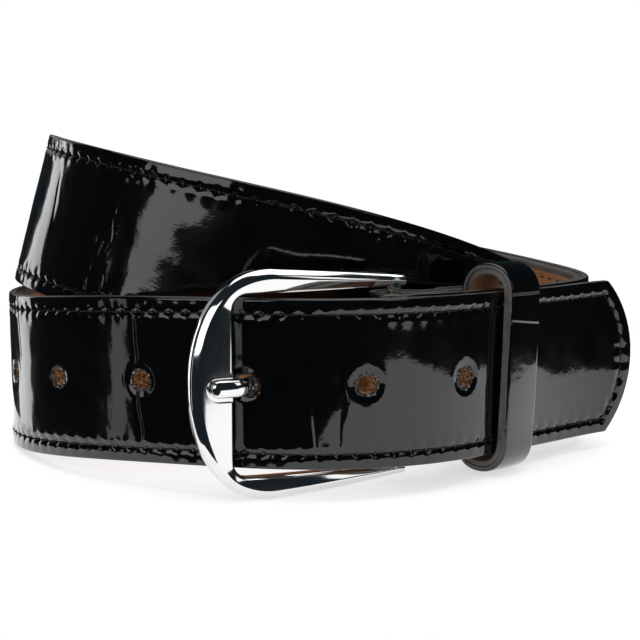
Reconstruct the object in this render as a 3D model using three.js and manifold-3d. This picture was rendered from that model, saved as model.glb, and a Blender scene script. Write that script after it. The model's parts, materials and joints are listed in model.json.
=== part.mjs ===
// Dress belt in patent leather, buckled and coiled twice, standing on its edge.
// Millimetres, +Z up, the buckle faces -Y, the tongue's tip points to +X.
import * as THREE from 'three';
import { mergeVertices } from 'three/addons/utils/BufferGeometryUtils.js';
import Module from 'manifold-3d';

const wasm = await Module();
wasm.setup();

// Driving dimensions.
const beltWidth = 38;
const plyThickness = 1.85;
const plyGap = 0.1;
const liningInset = 0.3;
const tipSagitta = 8;
const firstHole = 64.5;
const holePitch = 25.4;
const holeCount = 7;
const holeRadius = 2.5;
const threadInset = 3.4;
const threadWidth = 0.7;
const threadHeight = 0.35;
const threadClearance = 0.2;
const layerGap = 0.6;
const barStation = 77.5;
const barRadius = 1.65;
const foldRadius = 4;
const foldEnd = 30;
const keeperStation = 47;
const keeperWidth = 12;
const keeperInner = { front: 2.7, back: -6.65, below: -2.3, above: 42 };
const keeperPly = 1.15;
const frameTurn = 20.5;
const frameReach = 48.3;
const frameHalfHeight = 26;
const armTipHalfHeight = 23.1;
const frameInnerHalfHeight = 20.4;
const frameInnerReach = 38.7;
const frameThickness = 4;
const frameBow = 2;
const notch = { floor: 1.7, radius: 3.3, reach: 45 };
const curlRadius = { inner: 1.75, outer: 3.6 };
const prongHeight = 4.2;

// Course of the strap's middle surface along its lower edge: x, y, lift, roll inward in degrees.
const waypoints = [
  [77, 59, 4, 0], [65, 51.5, 4, 0], [54, 41, 4, 0], [44, 29.5, 5, 0], [34.5, 17, 6, 0],
  [23.5, 7, 6.8, 0], [9.5, 0.5, 7.3, 0], [-5.5, -1, 7.5, 0], [-20, 3, 7.2, 0], [-33.5, 9.5, 6.5, 0],
  [-46.5, 17, 5.5, 0], [-58.5, 26.5, 4, 0], [-68, 38, 2.2, 0], [-74.5, 51, 0.8, 0],
  [-77.5, 65, 0, 0], [-75.5, 77, 0, 0], [-65, 84, 0, 0], [-48, 85.5, 0, 0], [-24, 85.5, 0, 0],
  [4, 85, 0, 0], [27, 83, 0, 0], [42, 76.5, 0, 0], [49, 64.5, 2.5, 0], [45, 53.5, 7, 0],
  [35.5, 43, 12.3, 0], [23, 32.5, 18, 0], [7, 23.5, 23.8, 0], [-12.5, 20.5, 29.3, 0],
  [-32.5, 23.5, 33.5, 2], [-50, 31, 36.8, 6], [-64.5, 43, 39.2, 11], [-74, 58, 40.2, 15],
  [-78, 75, 40, 15], [-75.5, 89, 37, 14], [-64, 96.5, 31.8, 9], [-45, 98, 26, 4.5],
  [-20, 98, 19.5, 2], [5, 97.5, 13.5, 0.7], [29, 96, 9.5, 0], [47, 90.5, 6.5, 0],
  [59.5, 80, 5, 0], [64.5, 67, 5, 0],
];
const thickness = 2 * plyThickness + plyGap;
const halfThickness = thickness / 2;

// Uniform cubic B-spline through the rows of a table, the ends held by mirrored rows.
function spline(rows, stepsPerSpan) {
  const mirror = (end, next) => end.map((value, k) => 2 * value - next[k]);
  const last = rows.length - 1;
  const all = [mirror(rows[0], rows[1]), ...rows, mirror(rows[last], rows[last - 1])];
  const out = [];
  for (let i = 0; i + 3 < all.length; i += 1) {
    for (let j = 0; j < stepsPerSpan; j += 1) {
      const t = j / stepsPerSpan;
      const weight = [
        (1 - t) ** 3, 3 * t ** 3 - 6 * t * t + 4, -3 * t ** 3 + 3 * t * t + 3 * t + 1, t ** 3,
      ];
      out.push(rows[0].map((_, k) => weight.reduce((sum, w, m) => sum + w * all[i + m][k], 0) / 6));
    }
  }
  return out;
}

// Rows respaced evenly along the path of their first three columns.
function respace(rows, spacing) {
  const run = [0];
  for (let i = 1; i < rows.length; i += 1) {
    const step = Math.hypot(...[0, 1, 2].map((k) => rows[i][k] - rows[i - 1][k]));
    run.push(run[i - 1] + step);
  }
  const total = run[run.length - 1];
  const count = Math.round(total / spacing);
  const out = [];
  let i = 0;
  for (let j = 0; j <= count; j += 1) {
    const s = (total * j) / count;
    while (i < run.length - 2 && run[i + 1] < s) i += 1;
    const f = (s - run[i]) / (run[i + 1] - run[i]);
    out.push(rows[i].map((value, k) => value + f * (rows[i + 1][k] - value)));
  }
  return out;
}

// Stations hold a point on the lower edge, the way up the width and the way out of the patent face.
function stationsOf(rows) {
  return rows.map((row, i) => {
    const before = rows[Math.max(i - 1, 0)];
    const after = rows[Math.min(i + 1, rows.length - 1)];
    const along = new THREE.Vector3(after[0] - before[0], after[1] - before[1], after[2] - before[2]);
    along.normalize();
    const roll = THREE.MathUtils.degToRad(row[3]);
    const level = new THREE.Vector3(0, 0, 1).addScaledVector(along, -along.z).normalize();
    const out = level.clone().cross(along).applyAxisAngle(along, roll);
    const up = level.applyAxisAngle(along, roll);
    return { point: new THREE.Vector3(row[0], row[1], row[2]), along, up, out };
  });
}

const tongue = stationsOf(respace(spline(waypoints.slice(0, 18), 24), 1));

function tongueAt(s) {
  const i = Math.min(Math.max(Math.floor(s), 0), tongue.length - 2);
  const f = s - i;
  const mix = (key) => tongue[i][key].clone().lerp(tongue[i + 1][key], f);
  return { point: mix('point'), along: mix('along'), up: mix('up'), out: mix('out').normalize() };
}

// Row of the course that lies a given depth behind the tongue.
function behindTongue(s, depth) {
  const at = tongueAt(s);
  const point = at.point.clone().addScaledVector(at.out, -depth);
  return [point.x, point.y, point.z, 0];
}

// Running mean over a window of rows, the end rows kept.
function relax(rows, reach) {
  return rows.map((row, i) => {
    const n = Math.min(reach, i, rows.length - 1 - i);
    const near = rows.slice(i - n, i + n + 1);
    return row.map((_, k) => near.reduce((sum, r) => sum + r[k], 0) / near.length);
  });
}

// Depth of the turned end behind the tongue: pinched at both seams, held apart by the keeper.
const strapDepth = thickness + layerGap;
function turnedDepth(s) {
  const seam = strapDepth + thickness + 0.45;
  const overKeeper = halfThickness - keeperInner.back + 2 * keeperPly + plyGap + 0.45;
  const table = [
    [foldEnd, seam], [35, seam], [38.7, overKeeper], [54.5, overKeeper],
    [62, seam + 0.6], [66, seam + 0.6], [barStation, strapDepth + 2 * foldRadius],
  ];
  let i = 0;
  while (i < table.length - 2 && table[i + 1][0] < s) i += 1;
  const f = THREE.MathUtils.smoothstep(s, table[i][0], table[i + 1][0]);
  return THREE.MathUtils.lerp(table[i][1], table[i + 1][1], f);
}

// The whole strap: coils, run behind the tongue, fold round the bar, turned end.
const lead = [8, 19].map((s) => behindTongue(s, strapDepth));
const coils = spline([...waypoints, ...lead], 24);
const behind = [];
for (let s = 20; s <= barStation; s += 1) behind.push(behindTongue(s, strapDepth));
behind.push(behindTongue(barStation, strapDepth));
const run = relax(respace([...coils, ...behind], 1), 6);
const bar = tongueAt(barStation);
const barCentre = bar.point.clone().addScaledVector(bar.out, -strapDepth - foldRadius);
const fold = [];
for (let k = 1; k <= 12; k += 1) {
  const angle = (Math.PI * k) / 12;
  const point = barCentre.clone().addScaledVector(bar.out, foldRadius * Math.cos(angle));
  point.addScaledVector(bar.along, foldRadius * Math.sin(angle));
  fold.push([point.x, point.y, point.z, 0]);
}
const turned = [];
for (let s = barStation - 1.5; s >= foldEnd; s -= 1.5) turned.push(behindTongue(s, turnedDepth(s)));
const strap = stationsOf([...run, ...fold, ...turned]);
const runEnd = run.length - 1;

// Indices of the stations that are kept: where the strap has turned enough or run far enough.
const kept = [0];
for (let i = 1; i < strap.length - 1; i += 1) {
  const from = strap[kept[kept.length - 1]];
  const turn = from.out.angleTo(strap[i + 1].out);
  const far = from.point.distanceTo(strap[i + 1].point);
  if (turn > 0.12 || far > 7 || i < tipSagitta + 1) kept.push(i);
}
kept.push(strap.length - 1);

// Closed body lofted through rings of points that match one to one.
function loft(rings) {
  const n = rings[0].length;
  const positions = rings.flat().flatMap((p) => [p.x, p.y, p.z]);
  const index = [];
  for (let i = 0; i + 1 < rings.length; i += 1) {
    for (let j = 0; j < n; j += 1) {
      const a = i * n + j;
      const b = i * n + ((j + 1) % n);
      index.push(a, b, b + n, a, b + n, a + n);
    }
  }
  const end = (rings.length - 1) * n;
  for (let j = 1; j + 1 < n; j += 1) {
    index.push(0, j + 1, j, end, end + j, end + j + 1);
  }
  const geometry = new THREE.BufferGeometry();
  geometry.setAttribute('position', new THREE.Float32BufferAttribute(positions, 3));
  geometry.setIndex(index);
  if (volume(geometry) < 0) {
    for (let i = 0; i < index.length; i += 3) [index[i], index[i + 1]] = [index[i + 1], index[i]];
    geometry.setIndex(index);
  }
  return geometry;
}

function volume(geometry) {
  const corner = geometry.getAttribute('position');
  const index = geometry.getIndex();
  const [a, b, c] = [new THREE.Vector3(), new THREE.Vector3(), new THREE.Vector3()];
  let sum = 0;
  for (let i = 0; i < index.count; i += 3) {
    a.fromBufferAttribute(corner, index.getX(i));
    b.fromBufferAttribute(corner, index.getX(i + 1));
    c.fromBufferAttribute(corner, index.getX(i + 2));
    sum += a.dot(b.cross(c)) / 6;
  }
  return sum;
}

function toSolid(geometry) {
  const bare = geometry.clone();
  bare.deleteAttribute('normal');
  bare.deleteAttribute('uv');
  const merged = mergeVertices(bare, 1e-4);
  const mesh = new wasm.Mesh({
    numProp: 3,
    vertProperties: new Float32Array(merged.getAttribute('position').array),
    triVerts: new Uint32Array(merged.getIndex().array),
  });
  mesh.merge();
  return new wasm.Manifold(mesh);
}

function toGeometry(solid) {
  const mesh = solid.getMesh();
  const geometry = new THREE.BufferGeometry();
  geometry.setAttribute('position', new THREE.BufferAttribute(mesh.vertProperties, 3));
  geometry.setIndex(new THREE.BufferAttribute(mesh.triVerts, 1));
  return geometry;
}

function cut(geometry, tools) {
  const solid = tools.reduce((rest, tool) => rest.subtract(toSolid(tool)), toSolid(geometry));
  return toGeometry(solid);
}

// Point at a height up the strap's width and a distance out from its middle surface.
function onStrap(i, up, out) {
  const at = strap[i];
  return at.point.clone().addScaledVector(at.up, up).addScaledVector(at.out, out);
}

// Half the strap's width at a distance from the tip's apex; the tip is a shallow arc.
const tipRadius = (beltWidth ** 2 / 4 + tipSagitta ** 2) / (2 * tipSagitta);
function halfWidth(s) {
  if (s >= tipSagitta) return beltWidth / 2;
  const reach = Math.max(s, 0.2);
  return Math.sqrt(2 * tipRadius * reach - reach * reach);
}

function ply(from, to, inset) {
  const rings = kept.map((i) => {
    const half = halfWidth(i) - inset;
    const low = beltWidth / 2 - half;
    const high = beltWidth / 2 + half;
    return [onStrap(i, low, from), onStrap(i, high, from), onStrap(i, high, to), onStrap(i, low, to)];
  });
  return loft(rings);
}

// Thread of an edge seam, standing just proud of the patent face.
const threadLow = halfThickness + threadClearance;
const threadHigh = threadLow + threadHeight;
function edgeThread(centre) {
  const low = centre - threadWidth / 2;
  const high = centre + threadWidth / 2;
  const seam = kept.filter((i) => i > tipSagitta + 1 && i < runEnd - 13);
  const rings = seam.map((i) => [
    onStrap(i, low, threadLow), onStrap(i, high, threadLow),
    onStrap(i, high, threadHigh), onStrap(i, low, threadHigh),
  ]);
  return loft(rings);
}

// Thread of the seam that follows the tip's arc, as an arc inset from it.
function tipThread() {
  const radius = tipRadius - threadInset;
  const reach = beltWidth / 2 - threadInset - 1;
  const rings = [];
  for (let k = 0; k <= 12; k += 1) {
    const angle = Math.asin(reach / radius) * (k / 6 - 1);
    const ring = [[-0.5, 0], [0.5, 0], [0.5, 1], [-0.5, 1]].map(([side, rise]) => {
      const r = radius + side * threadWidth;
      const s = tipRadius - r * Math.cos(angle);
      const at = tongueAt(s);
      const out = threadLow + 0.08 + rise * threadHeight;
      return at.point.addScaledVector(at.up, beltWidth / 2 + r * Math.sin(angle))
        .addScaledVector(at.out, out);
    });
    rings.push(ring);
  }
  return loft(rings);
}

// Thread of a seam across the turned end, on its outer face.
function crossThread(s) {
  const depth = turnedDepth(s) + halfThickness + 0.15;
  const at = tongueAt(s);
  const corner = (along, up, out) => at.point.clone().addScaledVector(at.along, along)
    .addScaledVector(at.up, up).addScaledVector(at.out, -depth - out);
  const rings = [threadInset, beltWidth - threadInset].map((up) => [
    corner(-threadWidth / 2, up, 0), corner(threadWidth / 2, up, 0),
    corner(threadWidth / 2, up, threadHeight), corner(-threadWidth / 2, up, threadHeight),
  ]);
  return loft(rings);
}

// Buckle coordinates: a runs from the bar to the outer bar, h out of the front, z up.
const turn = THREE.MathUtils.degToRad(frameTurn);
const alongFrame = new THREE.Vector3(-Math.cos(turn), -Math.sin(turn), 0);
const outOfFrame = new THREE.Vector3(Math.sin(turn), -Math.cos(turn), 0);
const buckleCentre = new THREE.Vector3(barCentre.x, barCentre.y, frameHalfHeight);
function onBuckle(a, z, h) {
  return buckleCentre.clone().addScaledVector(alongFrame, a)
    .addScaledVector(outOfFrame, h).add(new THREE.Vector3(0, 0, z));
}

function placeOnBuckle(geometry) {
  const position = geometry.getAttribute('position');
  for (let i = 0; i < position.count; i += 1) {
    const p = onBuckle(position.getX(i), position.getY(i), position.getZ(i));
    position.setXYZ(i, p.x, p.y, p.z);
  }
  const index = geometry.getIndex();
  if (index && volume(geometry) < 0) {
    for (let i = 0; i < index.count; i += 3) {
      const first = index.getX(i);
      index.setX(i, index.getX(i + 1));
      index.setX(i + 1, first);
    }
  }
  return geometry;
}

// Upright cylinder about a point of the buckle's a, h plane.
function upright(a, h, radius, low, high, sides) {
  const rings = [low, high].map((z) => {
    const ring = [];
    for (let k = 0; k < sides; k += 1) {
      const angle = (2 * Math.PI * k) / sides;
      ring.push(onBuckle(a + radius * Math.cos(angle), z, h + radius * Math.sin(angle)));
    }
    return ring;
  });
  return loft(rings);
}

// Horseshoe frame: arms from the bar to a crescent outer bar, bevelled and bowed forward.
const crescentStart = 30;
function frameGeometry() {
  const shape = new THREE.Shape();
  const armTip = -2.6;
  const upper = [[armTip, armTipHalfHeight], [10, 24.3], [20, 25.2]];
  for (let k = 0; k <= 12; k += 1) {
    const angle = (Math.PI / 2) * (1 - k / 12);
    const a = crescentStart + (frameReach - crescentStart) * Math.cos(angle) ** (2 / 2.2);
    upper.push([a, frameHalfHeight * Math.sin(angle) ** (2 / 2.2)]);
  }
  const corner = 3.5;
  const inner = [];
  for (let k = 0; k <= 4; k += 1) {
    const angle = (Math.PI / 8) * k;
    inner.push([
      frameInnerReach - corner + corner * Math.cos(angle),
      frameInnerHalfHeight - corner + corner * Math.sin(angle),
    ]);
  }
  inner.push([24, frameInnerHalfHeight], [12, frameInnerHalfHeight], [armTip, frameInnerHalfHeight]);
  const mirrored = (points) => points.map(([a, z]) => [a, -z]).reverse();
  const outline = [...upper, ...mirrored(upper).slice(1), ...mirrored(inner), ...inner];
  shape.setFromPoints(outline.map(([a, z]) => new THREE.Vector2(a, z)));
  const bevel = 0.6;
  const geometry = new THREE.ExtrudeGeometry(shape, {
    depth: frameThickness - 2 * bevel, bevelThickness: bevel, bevelSize: bevel,
    bevelOffset: -bevel, bevelSegments: 1, curveSegments: 8,
  });
  geometry.deleteAttribute('normal');
  geometry.deleteAttribute('uv');
  const merged = mergeVertices(geometry, 1e-4);
  const position = merged.getAttribute('position');
  for (let i = 0; i < position.count; i += 1) {
    const f = THREE.MathUtils.clamp(position.getX(i) / frameReach, 0, 1);
    const bow = 4 * frameBow * f * (1 - f);
    position.setZ(i, position.getZ(i) - frameThickness / 2 + bevel + bow);
  }
  return placeOnBuckle(merged);
}

// Notch of the outer bar that the prong's tip lies in, rounded at its blind end.
function notchGeometry() {
  const rings = [notch.floor, frameThickness + 2].map((h) => {
    const ring = [onBuckle(frameInnerReach - 2, -notch.radius, h)];
    for (let k = 0; k <= 10; k += 1) {
      const angle = Math.PI * (k / 10 - 0.5);
      const a = notch.reach - notch.radius + notch.radius * Math.cos(angle);
      ring.push(onBuckle(a, notch.radius * Math.sin(angle), h));
    }
    ring.push(onBuckle(frameInnerReach - 2, notch.radius, h));
    return ring;
  });
  return loft(rings);
}

// Prong: curl round the bar, then an S-bend that rises through the used hole onto the frame.
const prongPath = [
  [0, 2.7], [7, 2.8], [14, 2.7], [20, 2.2], [25, 0.9], [28.5, -0.4], [31.3, -0.9], [34, 0.1],
  [36.6, 2.4], [38.6, 3.2], [44.2, 3.1],
];
function prongSweep(extraHeight, extraThickness, swing) {
  const last = prongPath.length - 1;
  const rings = prongPath.map(([a, h], i) => {
    const [a0, h0] = prongPath[Math.max(i - 1, 0)];
    const [a1, h1] = prongPath[Math.min(i + 1, last)];
    const slope = Math.atan2(h1 - h0, a1 - a0);
    const high = prongHeight / 2 - (i === last ? 0.8 : 0) + extraHeight;
    const thick = (i === 0 ? 0.9 : 1.2) - (i === last ? 0.4 : 0) + extraThickness;
    const chamfer = 0.5;
    const ring = [
      [high - chamfer, -thick], [high, chamfer - thick], [high, thick - chamfer], [high - chamfer, thick],
      [chamfer - high, thick], [-high, thick - chamfer], [-high, chamfer - thick], [chamfer - high, -thick],
    ];
    return ring.map(([z, n]) => {
      const across = a - n * Math.sin(slope);
      const rise = h + n * Math.cos(slope);
      const angle = THREE.MathUtils.degToRad(swing);
      return onBuckle(
        across * Math.cos(angle) - rise * Math.sin(angle),
        z,
        across * Math.sin(angle) + rise * Math.cos(angle),
      );
    });
  });
  return loft(rings);
}

function prongGeometry() {
  const low = -prongHeight / 2;
  const high = prongHeight / 2;
  const outer = toSolid(upright(0, 0, curlRadius.outer, low, high, 24));
  const blank = outer.add(toSolid(prongSweep(0, 0, 0)));
  const eye = toSolid(upright(0, 0, curlRadius.inner, low - 1, high + 1, 24));
  return toGeometry(blank.subtract(eye));
}

// Holes of the tongue and the room the prong needs in the strap as it swings.
function strapCuts() {
  const cuts = [];
  for (let k = 0; k < holeCount; k += 1) {
    const at = tongueAt(firstHole + k * holePitch);
    const middle = at.point.clone().addScaledVector(at.up, beltWidth / 2);
    const rings = [-4, 4].map((out) => {
      const ring = [];
      for (let j = 0; j < 14; j += 1) {
        const angle = (2 * Math.PI * j) / 14;
        const p = middle.clone().addScaledVector(at.out, out / 1.6);
        p.addScaledVector(at.along, holeRadius * Math.cos(angle));
        ring.push(p.addScaledVector(at.up, holeRadius * Math.sin(angle)));
      }
      return ring;
    });
    cuts.push(loft(rings));
  }
  [0, 1, 2, 3].forEach((swing) => cuts.push(prongSweep(0.4, 0.3, swing)));
  const slot = upright(0, 0, 6.3, -prongHeight / 2 - 0.6, prongHeight / 2 + 0.6, 20);
  cuts.push(slot);
  return cuts;
}

// Keeper: rounded loop round the tongue and the strap behind it, its back wall in the fold.
function keeperLoop(offset, wall) {
  const at = tongueAt(keeperStation);
  const box = {
    front: keeperInner.front + offset, back: keeperInner.back - offset,
    low: keeperInner.below - offset, high: keeperInner.above + offset,
  };
  const outline = (grow) => {
    const radius = 4 + offset + grow;
    const points = [];
    const centres = [
      [box.front + grow - radius, box.high + grow - radius, 0],
      [box.back - grow + radius, box.high + grow - radius, 1],
      [box.back - grow + radius, box.low - grow + radius, 2],
      [box.front + grow - radius, box.low - grow + radius, 3],
    ];
    centres.forEach(([out, up, quarter]) => {
      for (let k = 0; k <= 5; k += 1) {
        const angle = (Math.PI / 2) * (quarter + k / 5);
        points.push([out + radius * Math.cos(angle), up + radius * Math.sin(angle)]);
      }
    });
    return points;
  };
  const place = (points, side) => points.map(([out, up]) => at.point.clone()
    .addScaledVector(at.along, (side * keeperWidth) / 2)
    .addScaledVector(at.up, up).addScaledVector(at.out, out));
  const outer = loft([place(outline(wall), -1), place(outline(wall), 1)]);
  const inner = loft([place(outline(0), -1.2), place(outline(0), 1.2)]);
  return cut(outer, [inner]);
}

const group = new THREE.Group();
group.name = 'belt';
function addPart(name, geometry, colour, roughness, metalness) {
  geometry.computeVertexNormals();
  const material = new THREE.MeshStandardMaterial({ color: colour, roughness, metalness });
  const mesh = new THREE.Mesh(geometry, material);
  mesh.name = name;
  group.add(mesh);
}

const cuts = strapCuts();
const patentLow = plyGap / 2;
addPart('strap_patent_ply', cut(ply(patentLow, halfThickness, 0), cuts), 0x0a0a0c, 0.12, 0);
addPart('strap_lining_ply', cut(ply(-patentLow, -halfThickness, liningInset), cuts), 0x9a5a28, 0.7, 0);
addPart('upper_edge_thread', edgeThread(beltWidth - threadInset), 0x101014, 0.8, 0);
addPart('lower_edge_thread', edgeThread(threadInset), 0x101014, 0.8, 0);
addPart('tip_thread', tipThread(), 0x101014, 0.8, 0);
addPart('fold_thread_near_bar', crossThread(64), 0x101014, 0.8, 0);
addPart('fold_thread_near_end', crossThread(33), 0x101014, 0.8, 0);
addPart('keeper_lining_ply', keeperLoop(0, keeperPly), 0x9a5a28, 0.7, 0);
addPart('keeper_patent_ply', keeperLoop(keeperPly + plyGap, keeperPly), 0x0a0a0c, 0.12, 0);
const eyes = [-1, 1].map((side) => {
  const low = side > 0 ? frameInnerHalfHeight - 1 : -armTipHalfHeight + 0.8;
  return upright(0, 0, barRadius + 0.05, low, low + armTipHalfHeight - frameInnerHalfHeight + 0.2, 20);
});
addPart('buckle_frame', cut(frameGeometry(), [...eyes, notchGeometry()]), 0xc8ccd0, 0.1, 1);
const barHalf = armTipHalfHeight - 0.9;
addPart('buckle_bar', upright(0, 0, barRadius, -barHalf, barHalf, 20), 0xc8ccd0, 0.2, 1);
addPart('buckle_prong', prongGeometry(), 0xc8ccd0, 0.1, 1);

// Origin at the middle of the footprint, on the surface the belt stands on.
const box = new THREE.Box3().setFromObject(group);
const shift = new THREE.Vector3(-(box.min.x + box.max.x) / 2, -(box.min.y + box.max.y) / 2, -box.min.z);
group.children.forEach((mesh) => mesh.geometry.translate(shift.x, shift.y, shift.z));

export default group;
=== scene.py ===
"""Patent leather belt, buckled and coiled twice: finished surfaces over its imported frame."""
import json
import math

import bmesh
import bpy
import numpy as np
from mathutils import Euler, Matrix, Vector


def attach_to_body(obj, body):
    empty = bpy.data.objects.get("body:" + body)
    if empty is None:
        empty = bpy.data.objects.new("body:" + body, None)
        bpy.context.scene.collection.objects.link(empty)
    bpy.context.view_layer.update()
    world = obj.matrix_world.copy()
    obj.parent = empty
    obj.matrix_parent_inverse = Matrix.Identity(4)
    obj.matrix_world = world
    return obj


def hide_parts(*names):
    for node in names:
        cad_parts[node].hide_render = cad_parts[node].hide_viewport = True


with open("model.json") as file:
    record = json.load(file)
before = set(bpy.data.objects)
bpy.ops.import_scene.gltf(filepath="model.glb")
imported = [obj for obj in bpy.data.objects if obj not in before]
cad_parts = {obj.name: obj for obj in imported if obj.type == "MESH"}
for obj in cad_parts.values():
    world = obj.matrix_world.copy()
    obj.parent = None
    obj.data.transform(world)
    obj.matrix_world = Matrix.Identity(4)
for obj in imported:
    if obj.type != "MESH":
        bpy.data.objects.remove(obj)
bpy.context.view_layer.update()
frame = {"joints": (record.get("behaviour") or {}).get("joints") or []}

bl_info = {
    "name": "Patent Leather Belt",
    "version": (1, 0, 0),
    "blender": (4, 5, 0),
    "location": "3D View > Sidebar > Belt",
    "description": "Builds the finished surfaces of a buckled patent leather belt",
    "category": "Add Mesh",
}

# The course below is in millimetres and is the same as the frame's own.
MM = 0.001
WIDTH = 38.0
PLY = 1.85
PLY_GAP = 0.1
HALF = PLY + PLY_GAP / 2
THICKNESS = 2 * HALF
LINING_INSET = 0.3
TIP_SAGITTA = 8.0
TIP_RADIUS = (WIDTH ** 2 / 4 + TIP_SAGITTA ** 2) / (2 * TIP_SAGITTA)
FIRST_HOLE = 64.5
HOLE_PITCH = 25.4
HOLE_COUNT = 7
USED_HOLE = 2
LAYER_GAP = 0.6
BAR_STATION = 77.5
FOLD_RADIUS = 4.0
FOLD_END = 30.0
KEEPER_STATION = 47.0
KEEPER = {"front": 2.7, "back": -6.65, "below": -2.3, "above": 42.0}
KEEPER_PLY = 1.15
KEEPER_WIDTH = 12.0
FRAME_TURN = math.radians(20.5)
FRAME_HALF_HEIGHT = 26.0
STRAP_DEPTH = THICKNESS + LAYER_GAP

WAYPOINTS = np.array([
    (77, 59, 4, 0), (65, 51.5, 4, 0), (54, 41, 4, 0), (44, 29.5, 5, 0), (34.5, 17, 6, 0),
    (23.5, 7, 6.8, 0), (9.5, 0.5, 7.3, 0), (-5.5, -1, 7.5, 0), (-20, 3, 7.2, 0),
    (-33.5, 9.5, 6.5, 0), (-46.5, 17, 5.5, 0), (-58.5, 26.5, 4, 0), (-68, 38, 2.2, 0),
    (-74.5, 51, 0.8, 0), (-77.5, 65, 0, 0), (-75.5, 77, 0, 0), (-65, 84, 0, 0), (-48, 85.5, 0, 0),
    (-24, 85.5, 0, 0), (4, 85, 0, 0), (27, 83, 0, 0), (42, 76.5, 0, 0), (49, 64.5, 2.5, 0),
    (45, 53.5, 7, 0), (35.5, 43, 12.3, 0), (23, 32.5, 18, 0), (7, 23.5, 23.8, 0),
    (-12.5, 20.5, 29.3, 0), (-32.5, 23.5, 33.5, 2), (-50, 31, 36.8, 6), (-64.5, 43, 39.2, 11),
    (-74, 58, 40.2, 15), (-78, 75, 40, 15), (-75.5, 89, 37, 14), (-64, 96.5, 31.8, 9),
    (-45, 98, 26, 4.5), (-20, 98, 19.5, 2), (5, 97.5, 13.5, 0.7), (29, 96, 9.5, 0),
    (47, 90.5, 6.5, 0), (59.5, 80, 5, 0), (64.5, 67, 5, 0),
], float)
TONGUE_WAYPOINTS = 18


# ---- the strap's course ----------------------------------------------------------------------

def spline(rows, steps):
    """Uniform cubic B-spline through table rows, ends held by mirrored rows:
    a sixth of the four weights (1-t)^3, 3t^3-6t^2+4, -3t^3+3t^2+3t+1 and t^3."""
    rows = np.asarray(rows, float)
    table = np.vstack([2 * rows[0] - rows[1], rows, 2 * rows[-1] - rows[-2]])
    t = (np.arange(steps) / steps)[None, :, None]
    weights = ((1 - t) ** 3, 3 * t ** 3 - 6 * t * t + 4, -3 * t ** 3 + 3 * t * t + 3 * t + 1, t ** 3)
    spans = len(table) - 3
    points = sum(w * table[m:m + spans, None, :] for m, w in enumerate(weights)) / 6
    return points.reshape(-1, rows.shape[1])


def run_length(rows):
    """Distance along a path of points, from its first point."""
    steps = np.linalg.norm(np.diff(rows[:, :3], axis=0), axis=1)
    return np.concatenate([[0], np.cumsum(steps)])


def flat_run(path):
    """Distance along a path of points in a plane, from its first point."""
    return run_length(np.hstack([path, np.zeros((len(path), 1))]))


def respace(rows, spacing):
    """Rows respaced evenly along the path of their first three columns."""
    run = run_length(rows)
    count = int(round(run[-1] / spacing))
    even = np.linspace(0, run[-1], count + 1)
    return np.stack([np.interp(even, run, column) for column in rows.T], axis=1)


def unit(v):
    return v / np.linalg.norm(v, axis=-1, keepdims=True)


def turned_about(v, axis, angle):
    """Each vector turned about its unit axis by an angle, by Rodrigues' formula."""
    c, s = np.cos(angle)[:, None], np.sin(angle)[:, None]
    along = np.sum(v * axis, axis=1, keepdims=True) * axis
    return along + c * (v - along) + s * np.cross(axis, v)


def stations(rows):
    """Point on the lower edge, way along, way up the width and way out of the patent face."""
    after = np.vstack([rows[1:], rows[-1:]])[:, :3]
    before = np.vstack([rows[:1], rows[:-1]])[:, :3]
    along = unit(after - before)
    level = unit(np.array([0, 0, 1.0]) - along[:, 2:3] * along)
    roll = np.radians(rows[:, 3])
    out = turned_about(np.cross(level, along), along, roll)
    up = turned_about(level, along, roll)
    return {"point": rows[:, :3].copy(), "along": along, "up": up, "out": out}


TONGUE = stations(respace(spline(WAYPOINTS[:TONGUE_WAYPOINTS], 24), 1))


def at_station(course, s):
    """The course's point and directions at distances s (mm) along it, between its rows."""
    s = np.atleast_1d(np.asarray(s, float))
    rows = np.arange(len(course["point"]))
    found = {}
    for key, table in course.items():
        found[key] = np.stack([np.interp(s, rows, column) for column in table.T], axis=1)
    for key in ("along", "up", "out"):
        found[key] = unit(found[key])
    return found


def behind_tongue(s, depth):
    """Course rows that lie a depth behind the tongue."""
    at = at_station(TONGUE, s)
    point = at["point"] - at["out"] * np.atleast_1d(depth)[:, None]
    return np.hstack([point, np.zeros((len(point), 1))])


def relax(rows, reach):
    """Running mean over a window that narrows to nothing at both ends."""
    total = np.vstack([np.zeros((1, rows.shape[1])), np.cumsum(rows, axis=0)])
    i = np.arange(len(rows))
    n = np.minimum(reach, np.minimum(i, len(rows) - 1 - i))
    return (total[i + n + 1] - total[i - n]) / (2 * n + 1)[:, None]


def turned_depth(s):
    """Depth of the turned end behind the tongue: smooth steps between its seams and the keeper."""
    seam = STRAP_DEPTH + THICKNESS + 0.45
    over_keeper = HALF - KEEPER["back"] + 2 * KEEPER_PLY + PLY_GAP + 0.45
    knots = np.array([FOLD_END, 35, 38.7, 54.5, 62, 66, BAR_STATION])
    depth = np.array([seam, seam, over_keeper, over_keeper, seam + 0.6, seam + 0.6,
                      STRAP_DEPTH + 2 * FOLD_RADIUS])
    i = np.clip(np.searchsorted(knots, s, side="left") - 1, 0, len(knots) - 2)
    f = np.clip((s - knots[i]) / (knots[i + 1] - knots[i]), 0, 1)
    f = f * f * (3 - 2 * f)
    return depth[i] + f * (depth[i + 1] - depth[i])


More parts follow.
